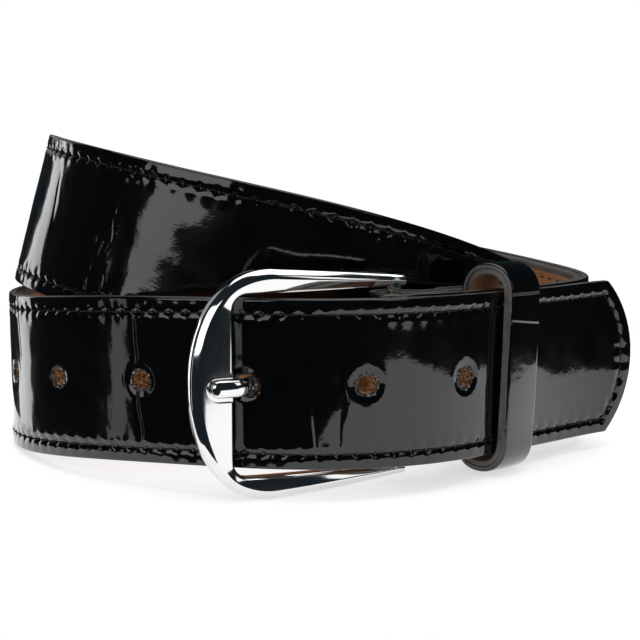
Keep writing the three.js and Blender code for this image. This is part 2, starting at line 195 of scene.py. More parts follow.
LEAD = behind_tongue([8, 19], STRAP_DEPTH * np.ones(2))
COILS = spline(np.vstack([WAYPOINTS, LEAD]), 24)
BEHIND_S = np.append(np.arange(20, BAR_STATION + 0.01), BAR_STATION)
BEHIND = behind_tongue(BEHIND_S, STRAP_DEPTH * np.ones(len(BEHIND_S)))
RUN = relax(respace(np.vstack([COILS, BEHIND]), 1), 6)
BAR = at_station(TONGUE, BAR_STATION)
BAR_CENTRE = (BAR["point"] - BAR["out"] * (STRAP_DEPTH + FOLD_RADIUS))[0]


def whole_course():
    """Rows of the coils, the fold round the bar (half a turn) and the turned end, 1 mm apart."""
    angle = np.linspace(0, math.pi, 25)[1:, None]
    fold = BAR_CENTRE + FOLD_RADIUS * (np.cos(angle) * BAR["out"] + np.sin(angle) * BAR["along"])
    fold = np.hstack([fold, np.zeros((len(fold), 1))])
    back = np.arange(BAR_STATION - 0.75, FOLD_END - 0.01, -0.75)
    turned = behind_tongue(back, turned_depth(back))
    return respace(np.vstack([RUN, fold, turned]), 1)


STRAP = stations(whole_course())
STRAP_LENGTH = len(STRAP["point"]) - 1.0
RUN_LENGTH = len(RUN) - 1.0
JOINTS = {joint["name"]: joint for joint in frame["joints"]}
HINGE = np.array(JOINTS["buckle_hinge"]["pos_m"]) / MM
SHIFT = np.array([HINGE[0] - BAR_CENTRE[0], HINGE[1] - BAR_CENTRE[1], 0.0])
BUCKLE_CENTRE = np.array([BAR_CENTRE[0], BAR_CENTRE[1], FRAME_HALF_HEIGHT])
ALONG_FRAME = np.array([-math.cos(FRAME_TURN), -math.sin(FRAME_TURN), 0.0])
OUT_OF_FRAME = np.array([math.sin(FRAME_TURN), -math.cos(FRAME_TURN), 0.0])


def on_strap(s, up, out, course=STRAP):
    """Point at distance s along, up the width and out of the middle surface; arrays broadcast."""
    s, up, out = np.broadcast_arrays(s, up, out)
    at = at_station(course, s.ravel())
    flat = at["point"] + at["up"] * up.reshape(-1, 1) + at["out"] * out.reshape(-1, 1)
    return flat.reshape(s.shape + (3,))


def on_buckle(a, z, h):
    """Point of the buckle: a from the bar to the outer bar, z up, h out of its front."""
    a, z, h = (np.asarray(x, float)[..., None] for x in np.broadcast_arrays(a, z, h))
    return BUCKLE_CENTRE + a * ALONG_FRAME + h * OUT_OF_FRAME + z * np.array([0, 0, 1.0])


# ---- surfaces ----------------------------------------------------------------------------------

def ease(x, low, high):
    """Smooth step from 0 at low to 1 at high."""
    f = np.clip((x - low) / (high - low), 0, 1)
    return f * f * (3 - 2 * f)


def bell(x, width):
    """Bell curve exp(-(x/width)^2)."""
    return np.exp(-(x / width) ** 2)


def ripple(s, u, seed, waves, shortest, longest):
    """Sum of cosines of random direction, length and phase, scaled to stay within about +-1."""
    rng = np.random.default_rng(seed)
    total = np.zeros(np.broadcast(s, u).shape)
    for _ in range(waves):
        length = rng.uniform(shortest, longest)
        heading = rng.uniform(0, 2 * math.pi)
        phase = rng.uniform(0, 2 * math.pi)
        along = s * math.cos(heading) + u * math.sin(heading)
        total = total + np.cos(2 * math.pi * along / length + phase)
    return total / math.sqrt(waves) / 1.5


def grid_faces(rows, columns, close_rows=False, close_columns=False):
    """Quads between neighbours of a rows by columns grid, closed round either way if asked."""
    i = np.arange(rows if close_rows else rows - 1)[:, None]
    j = np.arange(columns if close_columns else columns - 1)[None, :]
    i2, j2 = (i + 1) % rows, (j + 1) % columns
    quads = [i * columns + j, i2 * columns + j, i2 * columns + j2, i * columns + j2]
    return np.stack(np.broadcast_arrays(*quads), axis=-1).reshape(-1, 4)


def end_cap(ring, centre):
    """Triangles from a ring of vertex numbers to one centre vertex."""
    ring = np.asarray(ring)
    return np.stack([ring, np.roll(ring, -1), np.full(len(ring), centre)], axis=1)


def new_piece(name, points, faces, uv=None, material_of_face=None, sharp=None):
    """Mesh object from points in millimetres; faces is a list of arrays of equal-length faces."""
    points = (np.asarray(points, float).reshape(-1, 3) + SHIFT) * MM
    faces = [np.asarray(f) for f in (faces if isinstance(faces, list) else [faces])]
    mesh = bpy.data.meshes.new(name)
    mesh.from_pydata(points.tolist(), [], [face for block in faces for face in block.tolist()])
    if uv is not None:
        layer = mesh.uv_layers.new(name="surface")
        corner = np.empty(len(mesh.loops), dtype=np.int32)
        mesh.loops.foreach_get("vertex_index", corner)
        layer.data.foreach_set("uv", (np.asarray(uv).reshape(-1, 2)[corner] * MM).ravel())
    mesh.update()
    obj = bpy.data.objects.new(name, mesh)
    bpy.context.scene.collection.objects.link(obj)
    face_outwards(obj)
    if material_of_face is not None:
        mesh.polygons.foreach_set("material_index", np.asarray(material_of_face, np.int32))
    mesh.shade_smooth()
    if sharp is not None:
        mesh.set_sharp_from_angle(angle=math.radians(sharp))
    return obj


def face_outwards(obj):
    """Normals recalculated so that a closed mesh faces outwards."""
    bm = bmesh.new()
    bm.from_mesh(obj.data)
    bmesh.ops.recalc_face_normals(bm, faces=bm.faces)
    if bm.calc_volume(signed=True) < 0:
        bmesh.ops.reverse_faces(bm, faces=bm.faces)
    bm.to_mesh(obj.data)
    bm.free()


def tube(points, name, **options):
    """Closed surface through rings of points (rings by sides), with a fan at each end."""
    rings, sides = points.shape[:2]
    flat = points.reshape(-1, 3)
    ends = np.stack([points[0].mean(axis=0), points[-1].mean(axis=0)])
    first = np.arange(sides)
    last = first + (rings - 1) * sides
    count = rings * sides
    faces = [grid_faces(rings, sides, close_columns=True), end_cap(first[::-1], count),
             end_cap(last, count + 1)]
    return new_piece(name, np.vstack([flat, ends]), faces, **options)


def cut_away(obj, tools):
    """Cuts each tool out of the piece and removes the tools."""
    for tool in tools:
        change = obj.modifiers.new("cut", "BOOLEAN")
        change.operation = "DIFFERENCE"
        change.solver = "MANIFOLD"
        change.object = tool
    depsgraph = bpy.context.evaluated_depsgraph_get()
    mesh = bpy.data.meshes.new_from_object(obj.evaluated_get(depsgraph))
    obj.modifiers.clear()
    old, obj.data = obj.data, mesh
    mesh.name = old.name
    bpy.data.meshes.remove(old)
    for tool in tools:
        bpy.data.objects.remove(tool, do_unlink=True)


def give(obj, *materials):
    """Adds the materials to the piece in the order that its faces number them."""
    for material in materials:
        obj.data.materials.append(material)


def attach(obj, body, slot, *nodes):
    """The piece rides on its body and stands for the named nodes, which are hidden; slot is not used."""
    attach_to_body(obj, body)
    if nodes:
        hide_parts(*nodes)


# ---- materials ---------------------------------------------------------------------------------

class Shader:
    """Short hand for building one node material."""

    def __init__(self, name):
        self.material = bpy.data.materials.new(name)
        self.material.use_nodes = True
        self.nodes = self.material.node_tree.nodes
        self.links = self.material.node_tree.links
        self.surface = self.nodes["Principled BSDF"]

    def add(self, kind, **values):
        node = self.nodes.new(kind)
        for key, value in values.items():
            if hasattr(node, key):
                setattr(node, key, value)
            else:
                node.inputs[key.replace("_", " ")].default_value = value
        return node

    def join(self, source, output, target, entry):
        self.links.new(source.outputs[output], target.inputs[entry])

    def place(self, use_uv):
        return self.add("ShaderNodeTexCoord"), "UV" if use_uv else "Object"

    def noise(self, scale, detail=4.0, use_uv=False, stretch=(1, 1, 1), roughness=0.5, warp=0.0):
        """Noise texture on the piece's own coordinates; scale is per metre."""
        where, socket = self.place(use_uv)
        mapping = self.add("ShaderNodeMapping")
        mapping.inputs["Scale"].default_value = stretch
        texture = self.add("ShaderNodeTexNoise", Scale=scale, Detail=detail, Roughness=roughness,
                           Distortion=warp)
        self.join(where, socket, mapping, "Vector")
        self.join(mapping, "Vector", texture, "Vector")
        return texture

    def ramp(self, source, output, stops):
        """Colour ramp through (position, colour) stops."""
        node = self.add("ShaderNodeValToRGB")
        elements = node.color_ramp.elements
        while len(elements) < len(stops):
            elements.new(0.5)
        for element, (position, colour) in zip(elements, stops):
            element.position = position
            element.color = (*colour, 1) if len(colour) == 3 else colour
        self.join(source, output, node, "Fac")
        return node

    def grey(self, source, output, stops):
        return self.ramp(source, output, [(p, (v, v, v)) for p, v in stops])

    def tint(self, source, output, stops):
        self.join(self.ramp(source, output, stops), "Color", self.surface, "Base Color")

    def gloss(self, source, output, stops):
        self.join(self.grey(source, output, stops), "Color", self.surface, "Roughness")

    def relief(self, bump, entry="Normal"):
        self.join(bump, "Normal", self.surface, entry)

    def bump(self, source, output, strength, distance, after=None):
        node = self.add("ShaderNodeBump", Strength=strength, Distance=distance)
        self.join(source, output, node, "Height")
        if after is not None:
            self.join(after, "Normal", node, "Normal")
        return node


def patent_leather(name, colour, crease):
    """Lacquer over black leather: hard clear coat, slow waviness and thin meandering creases."""
    shader = Shader(name)
    surface = shader.surface
    surface.inputs["Specular IOR Level"].default_value = 0.12
    surface.inputs["Coat Weight"].default_value = 1.0
    surface.inputs["Coat Roughness"].default_value = 0.03
    surface.inputs["Coat IOR"].default_value = 1.52
    cloud = shader.noise(70, 3, use_uv=True)
    shader.tint(cloud, "Fac", [(0.3, colour), (0.75, tuple(1.9 * c for c in colour))])
    shader.gloss(shader.noise(160, 4, use_uv=True), "Fac", [(0.35, 0.09), (0.8, 0.2)])
    peel = shader.bump(shader.noise(1300, 3, use_uv=True, roughness=0.6), "Fac", 0.15, 0.00004)
    grain = shader.bump(shader.noise(260, 3, use_uv=True, roughness=0.55), "Fac", 0.22, 0.0001, peel)
    wave = shader.bump(shader.noise(60, 3, use_uv=True, stretch=(1, 0.35, 1)), "Fac", 0.4, 0.0006, grain)
    line = shader.grey(shader.noise(26, 3, use_uv=True, stretch=(1, 0.22, 1), warp=0.35), "Fac",
                       [(0.485, 1.0), (0.5, 0.0), (0.515, 1.0)])
    where = shader.grey(shader.noise(17, 2, use_uv=True), "Fac", [(0.5, 1.0), (0.62, 0.0)])
    sparse = shader.add("ShaderNodeMix", data_type="FLOAT")
    shader.join(where, "Color", sparse, 0)
    shader.join(line, "Color", sparse, 2)
    sparse.inputs[3].default_value = 1.0
    folds = shader.bump(sparse, 0, crease, 0.00018, wave)
    shader.relief(folds)
    shader.relief(folds, "Coat Normal")
    return shader.material


def split_leather(name, light, dark, nap):
    """Matt split leather: clouded colour, fine fibre bump, darker scuffs."""
    shader = Shader(name)
    surface = shader.surface
    surface.inputs["Specular IOR Level"].default_value = 0.3
    surface.inputs["Sheen Weight"].default_value = 0.15
    cloud = shader.noise(90, 6, use_uv=True, roughness=0.65)
    shader.tint(cloud, "Fac", [(0.3, dark), (0.7, light)])
    shader.gloss(cloud, "Fac", [(0.3, 0.85), (0.7, 0.62)])
    pores = shader.bump(shader.noise(900, 5, use_uv=True, roughness=0.7), "Fac", nap, 0.00025)
    fibres = shader.bump(shader.noise(2600, 3, use_uv=True, stretch=(0.4, 1, 1)), "Fac", nap * 0.6,
                         0.0001, pores)
    shader.relief(fibres)
    return shader.material


def dyed_edge(name, colour):
    """Cut edge of the plies: dyed, burnished, with a layered grain along the strap."""
    shader = Shader(name)
    grain = shader.noise(500, 5, use_uv=True, stretch=(0.25, 1, 1), roughness=0.7)
    shader.tint(grain, "Fac", [(0.3, colour), (0.75, tuple(2.6 * c for c in colour))])
    shader.gloss(grain, "Fac", [(0.3, 0.42), (0.7, 0.6)])
    shader.relief(shader.bump(grain, "Fac", 0.4, 0.0002))
    return shader.material


def waxed_thread(name, colour):
    """Twisted waxed thread: slanting plies along each stitch."""
    shader = Shader(name)
    shader.surface.inputs["Specular IOR Level"].default_value = 0.25
    where, socket = shader.place(True)
    twist = shader.add("ShaderNodeTexWave", bands_direction="DIAGONAL", Scale=900.0, Distortion=1.0,
                       Detail=1.0)
    shader.join(where, socket, twist, "Vector")
    shader.tint(twist, "Color", [(0.2, colour), (0.9, tuple(2.5 * c for c in colour))])
    shader.gloss(twist, "Color", [(0.1, 0.8), (0.9, 0.55)])
    shader.relief(shader.bump(twist, "Color", 0.5, 0.0001))
    return shader.material


def bright_plate(name, colour, roughness):
    """Polished plate: faint smears in the gloss and hairline polishing marks."""
    shader = Shader(name)
    shader.surface.inputs["Metallic"].default_value = 1.0
    smear = shader.noise(120, 5, roughness=0.6)
    shader.tint(smear, "Fac", [(0.3, tuple(0.93 * c for c in colour)), (0.7, colour)])
    shader.gloss(smear, "Fac", [(0.3, roughness), (0.8, roughness * 2.4)])
    shader.relief(shader.bump(shader.noise(700, 3, stretch=(1, 1, 0.2)), "Fac", 0.05, 0.00005))
    return shader.material


def torn_lacquer(name):
    """Torn rim of a punched hole: cracked lacquer flakes over pale fibre."""
    shader = Shader(name)
    flakes = shader.noise(1100, 4, roughness=0.7)
    shader.tint(flakes, "Fac", [(0.45, (0.003, 0.003, 0.0035)), (0.58, (0.03, 0.028, 0.027)),
                                (0.66, (0.35, 0.33, 0.31))])
    shader.gloss(flakes, "Fac", [(0.4, 0.12), (0.65, 0.6)])
    shader.relief(shader.bump(flakes, "Fac", 0.9, 0.0004))
    return shader.material


def torn_fibre(name, colour):
    """Raw leather fibre inside a hole: coarse clumps from brown to pale, strongly broken up."""
    shader = Shader(name)
    clump = shader.noise(1700, 5, roughness=0.75)
    shader.tint(clump, "Fac", [(0.4, tuple(0.06 * c for c in colour)), (0.52, tuple(colour)),
                               (0.7, (0.5, 0.38, 0.26))])
    shader.gloss(clump, "Fac", [(0.4, 0.9), (0.7, 0.4)])
    shader.relief(shader.bump(clump, "Fac", 1.0, 0.0005))
    return shader.material


# ---- strap -------------------------------------------------------------------------------------

# Material of a face, in the order that each ply's materials are given.
FACE, EDGE, TORN = 0, 1, 2
THREAD_INSET = 3.4
TIP_ARC = TIP_RADIUS - THREAD_INSET
ROW_START = TIP_RADIUS - math.sqrt(TIP_ARC ** 2 - (WIDTH / 2 - THREAD_INSET) ** 2)
ROW_END = RUN_LENGTH - 13
TIP_ARC_REACH = math.asin((WIDTH / 2 - THREAD_INSET) / TIP_ARC)
TIP_STITCHES = 9
FOLD_STITCHES = 8
CREASES = (94.5, 141.0, 477.0, 481.5)
CREASE_HEIGHT = 0.17
HOLES = FIRST_HOLE + HOLE_PITCH * np.arange(HOLE_COUNT)


def half_width(s):
    """Half the strap's width: sqrt(2Rs - s^2) over the tip's arc, then constant."""
    return np.where(s < TIP_SAGITTA, np.sqrt(np.maximum(2 * TIP_RADIUS * s - s * s, 0)), WIDTH / 2)


def tip_polar(s, u):
    """Radius and angle about the centre of the tip's arc."""
    return np.hypot(TIP_RADIUS - s, u - WIDTH / 2), np.arctan2(u - WIDTH / 2, TIP_RADIUS - s)


def edge_distance(s, u, inset=0.0):
    """Distance in from the nearest edge, straight or on the tip's arc."""
    radius, _ = tip_polar(s, u)
    arc = np.where(s < TIP_RADIUS, TIP_RADIUS - radius, WIDTH)
    return np.maximum(np.minimum(np.minimum(u, WIDTH - u), arc) - inset, 0)


def rolled_edge(distance, radius):
    """Drop of a quarter-round edge: r - sqrt(r^2 - (r - d)^2) within r of the edge."""
    return radius - np.sqrt(radius ** 2 - np.maximum(radius - distance, 0) ** 2)


def quilting(s, u, look):
    """Height of the sewn face: a bell-shaped channel along each seam, a diamond-shaped pit at every
    stitch hole, and a puff either side of each stitch that fades out at its holes."""
    radius, angle = tip_polar(s, u)
    pitch = look.stitch_pitch / MM
    row = ease(s, ROW_START - 1.5, ROW_START) * (1 - ease(s, ROW_END, ROW_END + 1.5))
    tip = 1 - ease(s, ROW_START - 0.7, ROW_START + 0.8)
    tip_pitch = 2 * TIP_ARC_REACH * TIP_ARC / TIP_STITCHES
    seams = [(u - THREAD_INSET, s - ROW_START, pitch, row),
             (u - WIDTH + THREAD_INSET, s - ROW_START, pitch, row),
             (radius - TIP_ARC, (angle + TIP_ARC_REACH) * TIP_ARC, tip_pitch, tip)]
    height = 0
    for across, along, step, live in seams:
        gap = along - step * np.round(along / step)
        middle = 0.5 - 0.5 * np.cos(2 * math.pi * along / step)
        crater = np.clip(1.15 - np.abs(gap) / 1.25 - np.abs(across) / 1.15, 0, 1)
        height = height + live * (
            look.puff / MM * middle * bell(np.abs(across) - 1.5, 0.9)
            - look.channel_depth / MM * bell(across, 0.55)
            - look.dimple_depth / MM * crater)
    return height


def pressed_holes(s, u, depth):
    """Dish round every hole, full depth to 2.6 mm from its middle and gone at 3.9 mm, with a low lip."""
    nearest = HOLES[np.clip(np.round((s - FIRST_HOLE) / HOLE_PITCH), 0, HOLE_COUNT - 1).astype(int)]
    distance = np.hypot(s - nearest, u - WIDTH / 2)
    return 0.25 * depth * bell(distance - 4.1, 0.5) - depth * (1 - ease(distance, 2.6, 3.9))


def creases(s, u, places, height):
    """Thin raised wrinkles across the strap: bell-shaped ridges that wander either side of their place
    by a sum of two sines up the width, fading before the seams."""
    total = 0
    for k, place in enumerate(places):
        wander = 0.5 * np.sin(u / 3.1 + 2 * k) + 0.3 * np.sin(u / 1.3 + 5 * k)
        total = total + bell(s - place - wander, 0.45) - 0.6 * bell(s - place - wander - 0.9, 0.5)
    return height * total * ease(edge_distance(s, u), 3.5, 6)


def ply_rows(inset, columns, across, side, inner, face_height, name, dyed=0):
    """Closed ply of the strap: rings round its section, carried along the course. Each ring runs over
    the finished face from edge to edge, down one cut side, back over the hidden face and up the other.
    across holds fractions -1..1 of the half width; side and inner hold heights and fractions; the
    edge dye runs over the first dyed columns of the finished face."""
    s = columns[:, None]
    half = half_width(s) - inset
    over = WIDTH / 2 + across * half
    face = face_height(s, over)
    down = np.broadcast_to(side, (len(columns), len(side)))
    back = np.broadcast_to(WIDTH / 2 + inner * half, (len(columns), len(inner)))
    up = np.concatenate([over, WIDTH / 2 + half + 0 * down, back, WIDTH / 2 - half + 0 * down], axis=1)
    out = np.concatenate([face, down, 0 * back + side[-1], down[:, ::-1]], axis=1)
    points = on_strap(s, up, out)
    rings, sides = up.shape
    first, last = points[0].mean(axis=0), points[-1].mean(axis=0)
    points = np.vstack([points.reshape(-1, 3), first, last])
    ring = np.arange(sides)
    count = rings * sides
    walls = grid_faces(rings, sides, close_columns=True)
    faces = [walls, end_cap(ring[::-1], count), end_cap(ring + count - sides, count + 1)]
    kind = np.full((rings - 1, sides), EDGE)
    kind[:, dyed:len(across) - 1 - dyed] = FACE
    kinds = np.concatenate([kind.ravel(), np.full(2 * sides, EDGE)])
    turn = np.concatenate([over, WIDTH + np.arange(sides - len(across)) * 0.8 + 0 * s], axis=1)
    uv = np.stack([np.broadcast_to(s, up.shape), turn], axis=-1).reshape(-1, 2)
    uv = np.vstack([uv, uv[:1], uv[-1:]])
    return new_piece(name, points, faces, uv=uv, material_of_face=kinds)


def prong_section(path_a, path_h, half_height, half_thick, sides):
    """Rounded bar section carried along a path in the buckle's a, h plane: a superellipse of
    exponent 2.4, half_height tall and half_thick either side of the path."""
    slope = np.arctan2(np.gradient(path_h), np.gradient(path_a))[:, None]
    angle = np.linspace(0, 2 * math.pi, sides, endpoint=False)[None, :]
    c, s = np.cos(angle), np.sin(angle)
    z = half_height[:, None] * np.sign(c) * np.abs(c) ** (2 / 2.4)
    n = half_thick[:, None] * np.sign(s) * np.abs(s) ** (2 / 2.4)
    return path_a[:, None] - n * np.sin(slope), z, path_h[:, None] + n * np.cos(slope)


PRONG_PATH = np.array([
    (0, 2.7), (7, 2.8), (14, 2.7), (20, 2.2), (25, 0.9), (28.5, -0.4), (31.3, -0.9), (34, 0.1),
    (36.6, 2.4), (38.6, 3.2), (44.2, 3.1)])
PRONG_HEIGHT = 4.2


def through(rows, steps):
    """Catmull-Rom curve through every row, ends held by mirrored rows."""
    table = np.vstack([2 * rows[0] - rows[1], rows, 2 * rows[-1] - rows[-2]])
    t = (np.arange(steps) / steps)[None, :, None]
    weights = (-t ** 3 + 2 * t * t - t, 3 * t ** 3 - 5 * t * t + 2,
               -3 * t ** 3 + 4 * t * t + t, t ** 3 - t * t)
    spans = len(table) - 3
    points = sum(w * table[m:m + spans, None, :] for m, w in enumerate(weights)) / 2
    return np.vstack([points.reshape(-1, rows.shape[1]), rows[-1:]])


def swung(a, h, degrees):
    """Point of the a, h plane turned about the bar."""
    c, s = math.cos(math.radians(degrees)), math.sin(math.radians(degrees))
    return a * c - h * s, a * s + h * c


def strap_tools(hole_radius):
    """Solids to cut from a ply: the holes with the fold's slot, and the prong's room as it swings."""
    sides = 32
    angle = np.linspace(0, 2 * math.pi, sides, endpoint=False)
    points, faces = [], []
    pull = np.where(np.arange(HOLE_COUNT) == USED_HOLE, 1.25, 1.0)
    for s, stretch in zip(HOLES, pull):
        ring = on_strap(s + stretch * hole_radius * np.cos(angle)[None, :],
                        WIDTH / 2 + hole_radius * np.sin(angle)[None, :],
                        np.array([-3.0, 3.0])[:, None])
        points.append(ring.reshape(-1, 3))
    z = np.array([-1, 1.0])[:, None] * (PRONG_HEIGHT / 2 + 0.6)
    slot = on_buckle(6.3 * np.cos(angle)[None, :], z, 6.3 * np.sin(angle)[None, :])
    points.append(slot.reshape(-1, 3))
    for start in range(0, 2 * sides * len(points), 2 * sides):
        bottom = start + np.arange(sides)
        faces += [grid_faces(2, sides, close_columns=True) + start, [bottom[::-1], bottom + sides]]
    holes = new_piece("cut_holes", np.vstack(points), faces)
    holes.data.shade_flat()
    tools = [holes]
    thick = np.full(len(PRONG_PATH), 1.2) + 0.3
    high = np.full(len(PRONG_PATH), PRONG_HEIGHT / 2) + 0.4
    for degrees in (0, 1, 2, 3):
        a, z, h = prong_section(PRONG_PATH[:, 0], PRONG_PATH[:, 1], high, thick, 16)
        a, h = swung(a, h, degrees)
        tools.append(tube(on_buckle(a, z, h), "cut_prong"))
    for tool in tools:
        give(tool, None, None, None)
        kind = np.full(len(tool.data.polygons), TORN, np.int32)
        tool.data.polygons.foreach_set("material_index", kind)
    return tools


def columns_along(step):
    """Stations along the strap: close together round the tip's arc, then evenly spaced and in step
    with the stitches, twice as close on the two runs that show most."""
    close = TIP_SAGITTA * (np.arange(1, 30) / 30) ** 1.8
    even = ROW_START + step * np.arange(-8, STRAP_LENGTH / step)
    even = even[(even > TIP_SAGITTA) & (even < STRAP_LENGTH - 0.3)]
    shown = (even < 245) | ((even > 400) & (even < 565))
    even = even[shown | (np.arange(len(even)) % 2 == 0)]
    return np.concatenate([close, even, [STRAP_LENGTH]])


def fractions(distances):
    """Fractions -1..1 of the half width from distances in from the edge, the same at both edges."""
    inner = np.asarray(distances, float) / (WIDTH / 2) - 1
    return np.concatenate([inner, [0.0], -inner[::-1]])


def thread_runs(name, s, u, heading, half, level, face):
    """Stitches lying on one face: each an arched thread whose middle stands at level and whose ends
    sink by its own thickness, with a round section that narrows at the ends."""
    t = np.array([-1, -0.82, -0.4, 0.0, 0.4, 0.82, 1])[None, :, None]
    fat = np.array([0.5, 0.95, 1, 1, 1, 0.95, 0.5])[None, :, None] * 0.21
    angle = np.linspace(0, 2 * math.pi, 6, endpoint=False)[None, None, :]
    s, u, heading, half, face = (np.broadcast_to(x, s.shape)[:, None, None]
                                 for x in (s, u, heading, half, face))
    along, across = half * t, fat * np.cos(angle)
    rise = level - 0.6 * t * t + fat * np.sin(angle)
    place_s = s + along * np.cos(heading) - across * np.sin(heading)
    place_u = u + along * np.sin(heading) + across * np.cos(heading)
    points = on_strap(place_s, place_u, face * rise)
    many, rings, sides = points.shape[:3]
    ends = points[:, [0, -1]].mean(axis=2)
    points = np.concatenate([points.reshape(many, -1, 3), ends], axis=1)
    ring = np.arange(sides)
    count = rings * sides
    base = [grid_faces(rings, sides, close_columns=True), end_cap(ring[::-1], count),
            end_cap(ring + count - sides, count + 1)]
    start = (np.arange(many) * (count + 2))[:, None, None]
    faces = [(block[None] + start).reshape(-1, block.shape[1]) for block in base]
    uv = np.stack(np.broadcast_arrays(along + 0 * across, angle * 0.37 + 0 * along), axis=-1)
    uv = np.concatenate([uv.reshape(many, -1, 2), np.zeros((many, 2, 2))], axis=1)
    return new_piece(name, points, faces, uv=uv)


def length_value(name, description, default, low, high):
    return bpy.props.FloatProperty(name=name, description=description, default=default, min=low,
                                   max=high, subtype="DISTANCE", unit="LENGTH")


def colour_value(name, description, default):
    return bpy.props.FloatVectorProperty(name=name, description=description, default=default,
                                         subtype="COLOR", size=3, min=0, max=1)


class StrapLook(bpy.types.PropertyGroup):
    stitch_pitch: length_value(
        "Stitch pitch", "Distance from one stitch hole to the next", 0.0041, 0.002, 0.01)
    channel_depth: length_value(
        "Channel depth", "How far the seam pulls the lacquered face in", 0.00016, 0, 0.0006)
    dimple_depth: length_value(
        "Dimple depth", "Extra depth of the dimple at each stitch hole", 0.0005, 0, 0.0008)
    puff: length_value(
        "Puff", "Height of the leather that swells beside each stitch", 0.0001, 0, 0.0005)
    waviness: length_value(
        "Waviness", "Height of the slow waves in the lacquered face", 0.00011, 0, 0.0004)
    dish_depth: length_value(
        "Hole dish", "How deep the leather is pressed in round each hole", 0.0003, 0, 0.0008)
    lacquer: colour_value("Lacquer", "Colour of the patent face", (0.0007, 0.0007, 0.0008))
    lining: colour_value("Lining", "Colour of the split leather lining", (0.3, 0.108, 0.024))
    edge: colour_value("Edge dye", "Colour of the dyed cut edges", (0.034, 0.032, 0.03))
    thread: colour_value("Thread", "Colour of the stitches", (0.004, 0.004, 0.0045))


class BuckleLook(bpy.types.PropertyGroup):
    outer_bevel: length_value(
        "Outer bevel", "Width of the bevel round the frame's outer edge", 0.0017, 0.0005, 0.003)
    crown: length_value(
        "Crown", "Height of the ridge along the frame's front", 0.00045, 0, 0.001)
    plate: colour_value("Plating", "Colour of the bright plating", (0.8, 0.8, 0.79))
    polish: bpy.props.FloatProperty(
        name="Roughness", description="Roughness of the bright plating",
        default=0.045, min=0, max=1, subtype="FACTOR")


class StageLook(bpy.types.PropertyGroup):
    lens: bpy.props.FloatProperty(
        name="Lens", description="Focal length of the camera in millimetres",
        default=104.2, min=20, max=300)
    floor: colour_value("Floor", "Colour of the floor", (0.42, 0.42, 0.42))


class Finishes:
    """The materials that several pieces share, made once."""
    made = {}

    @classmethod
    def get(cls, name):
        if name not in cls.made:
            strap = bpy.context.scene.belt_strap
            buckle = bpy.context.scene.belt_buckle
            makers = {
                "patent": lambda: patent_leather("patent_leather", tuple(strap.lacquer), 0.5),
                "lining": lambda: split_leather("lining_leather", tuple(strap.lining),
                                                tuple(0.62 * c for c in strap.lining), 0.45),
                "edge": lambda: dyed_edge("dyed_edge", tuple(strap.edge)),
                "thread": lambda: waxed_thread("thread", tuple(strap.thread)),
                "torn": lambda: torn_lacquer("torn_lacquer"),
                "fibre": lambda: torn_fibre("torn_fibre", tuple(strap.lining)),
                "plate": lambda: bright_plate("bright_plate", tuple(buckle.plate), buckle.polish),
            }
            cls.made[name] = makers[name]()
        return cls.made[name]


class BELT_OT_patent_ply(bpy.types.Operator):
    """Make the lacquered outer ply: quilted at its seams, dished at its holes and gently wavy"""
    bl_idname = "belt.patent_ply"
    bl_label = "Patent ply"

    def execute(self, context):
        look = context.scene.belt_strap

        def face_height(s, u):
            slow, quick = ripple(s, u, 5, 14, 22, 80), ripple(s, u, 9, 10, 9, 20)
            wave = look.waviness / MM * (slow + 0.5 * quick)
            calm = ease(edge_distance(s, u), 0, 3)
            return (HALF - rolled_edge(edge_distance(s, u), 0.4) + quilting(s, u, look)
                    + pressed_holes(s, u, look.dish_depth / MM) + calm * wave
                    + creases(s, u, CREASES, CREASE_HEIGHT))

        across = fractions([0, 0.06, 0.2, 0.42, 0.68, 1.1, 1.6, 2.1, 2.45, 2.7, 2.95, 3.18, 3.4, 3.62, 3.85,
                            4.1, 4.4, 4.8, 5.4, 6.4, 8, 10, 12, 13.4, 14.6, 15.6, 16.6, 17.6, 18.4])
        obj = ply_rows(0.0, columns_along(look.stitch_pitch / MM / 9), across,
                       np.array([0.9, 0.5, PLY_GAP / 2]), np.array([0.9, 0.3, -0.3, -0.9]),
                       face_height, "patent_strap_ply")
        give(obj, Finishes.get("patent"), Finishes.get("edge"), Finishes.get("fibre"))
        cut_away(obj, strap_tools(hole_radius=2.35))
        obj.data.set_sharp_from_angle(angle=math.radians(48))
        attach(obj, "strap", "patent_leather", "strap_patent_ply")
        return {"FINISHED"}


class BELT_OT_lining_ply(bpy.types.Operator):
    """Make the split leather lining, a little narrower than the patent ply"""
    bl_idname = "belt.lining_ply"
    bl_label = "Lining ply"

    def execute(self, context):
        look = context.scene.belt_strap

        def face_height(s, u):
            sunk = quilting(s, u, look)
            return (0.35 * rolled_edge(edge_distance(s, u, LINING_INSET), 0.5) - HALF - 0.5 * sunk
                    + 0.05 * ripple(s, u, 21, 16, 4, 25))

        across = fractions([0, 0.15, 0.4, 0.8, 1.6, 2.4, 3.1, 3.8, 4.6, 6, 9, 12.5, 16])
        obj = ply_rows(LINING_INSET, columns_along(look.stitch_pitch / MM / 4), across,
                       np.array([-1.5, -0.8, -PLY_GAP / 2]), np.array([0.8, -0.8]), face_height,
                       "lining_strap_ply", dyed=4)
        give(obj, Finishes.get("lining"), Finishes.get("edge"), Finishes.get("fibre"))
        cut_away(obj, strap_tools(hole_radius=2.45))
        obj.data.set_sharp_from_angle(angle=math.radians(50))
        attach(obj, "strap", "lining_leather", "strap_lining_ply")
        return {"FINISHED"}


